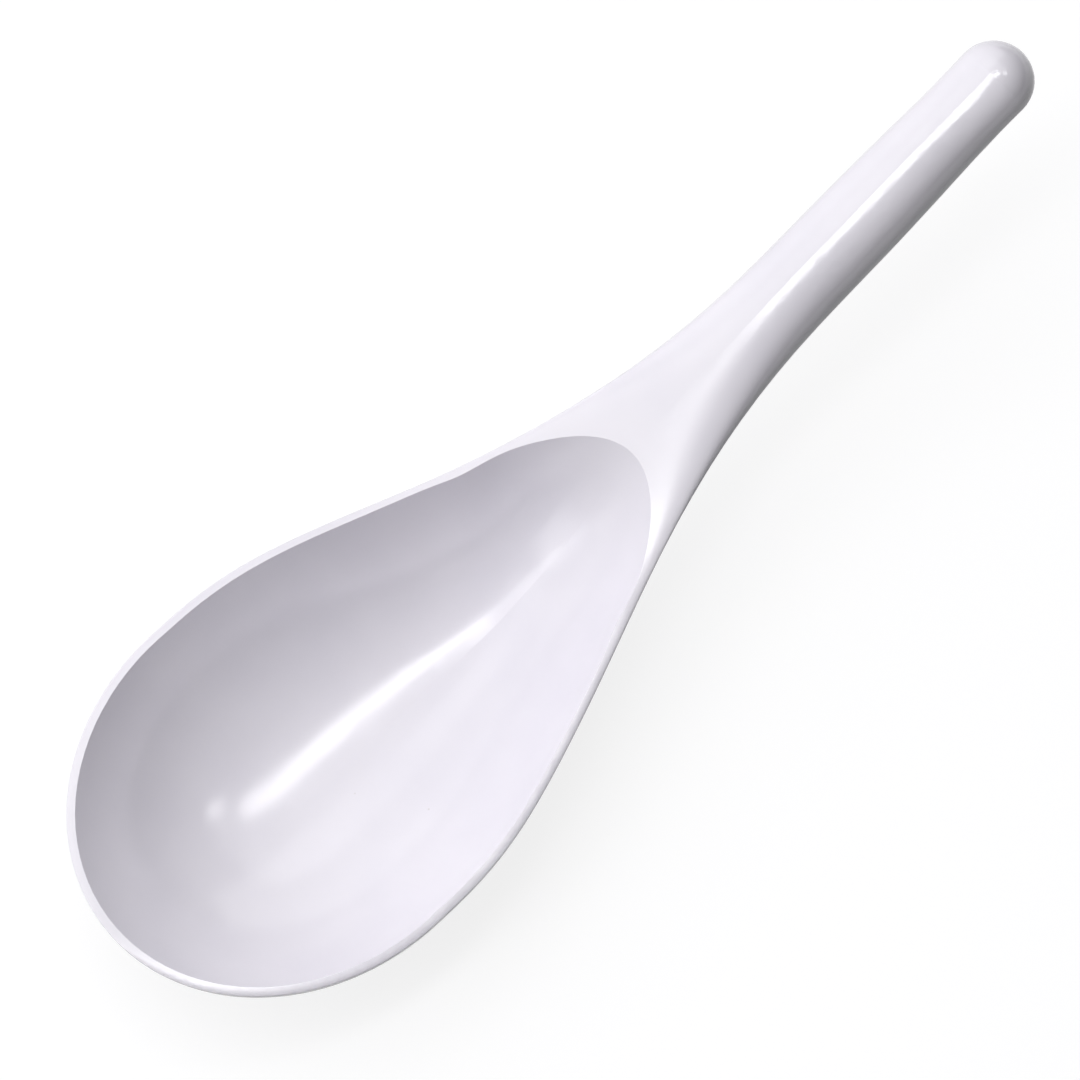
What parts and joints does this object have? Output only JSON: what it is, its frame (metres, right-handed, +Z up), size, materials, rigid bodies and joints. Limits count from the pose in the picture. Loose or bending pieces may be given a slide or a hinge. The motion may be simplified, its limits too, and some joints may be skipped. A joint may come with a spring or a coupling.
{
  "type": "rice paddle",
  "caption": "Serving ladle with a smooth egg-shaped bowl, a flared neck and a rising, round-backed handle that is hollow underneath, for scooping cooked rice.",
  "frame": {"origin": "middle of the small flat under the bowl, on the surface that the ladle rests on", "axes": "+X from the bowl towards the handle's end, +Y across the bowl, +Z up out of the bowl"},
  "size_m": [0.2304, 0.076, 0.0631],
  "materials": {
    "melamine": "polished white melamine, faintly cool"
  },
  "bodies": {
    "root": {"rice_paddle": "melamine"}
  },
  "joints": []
}
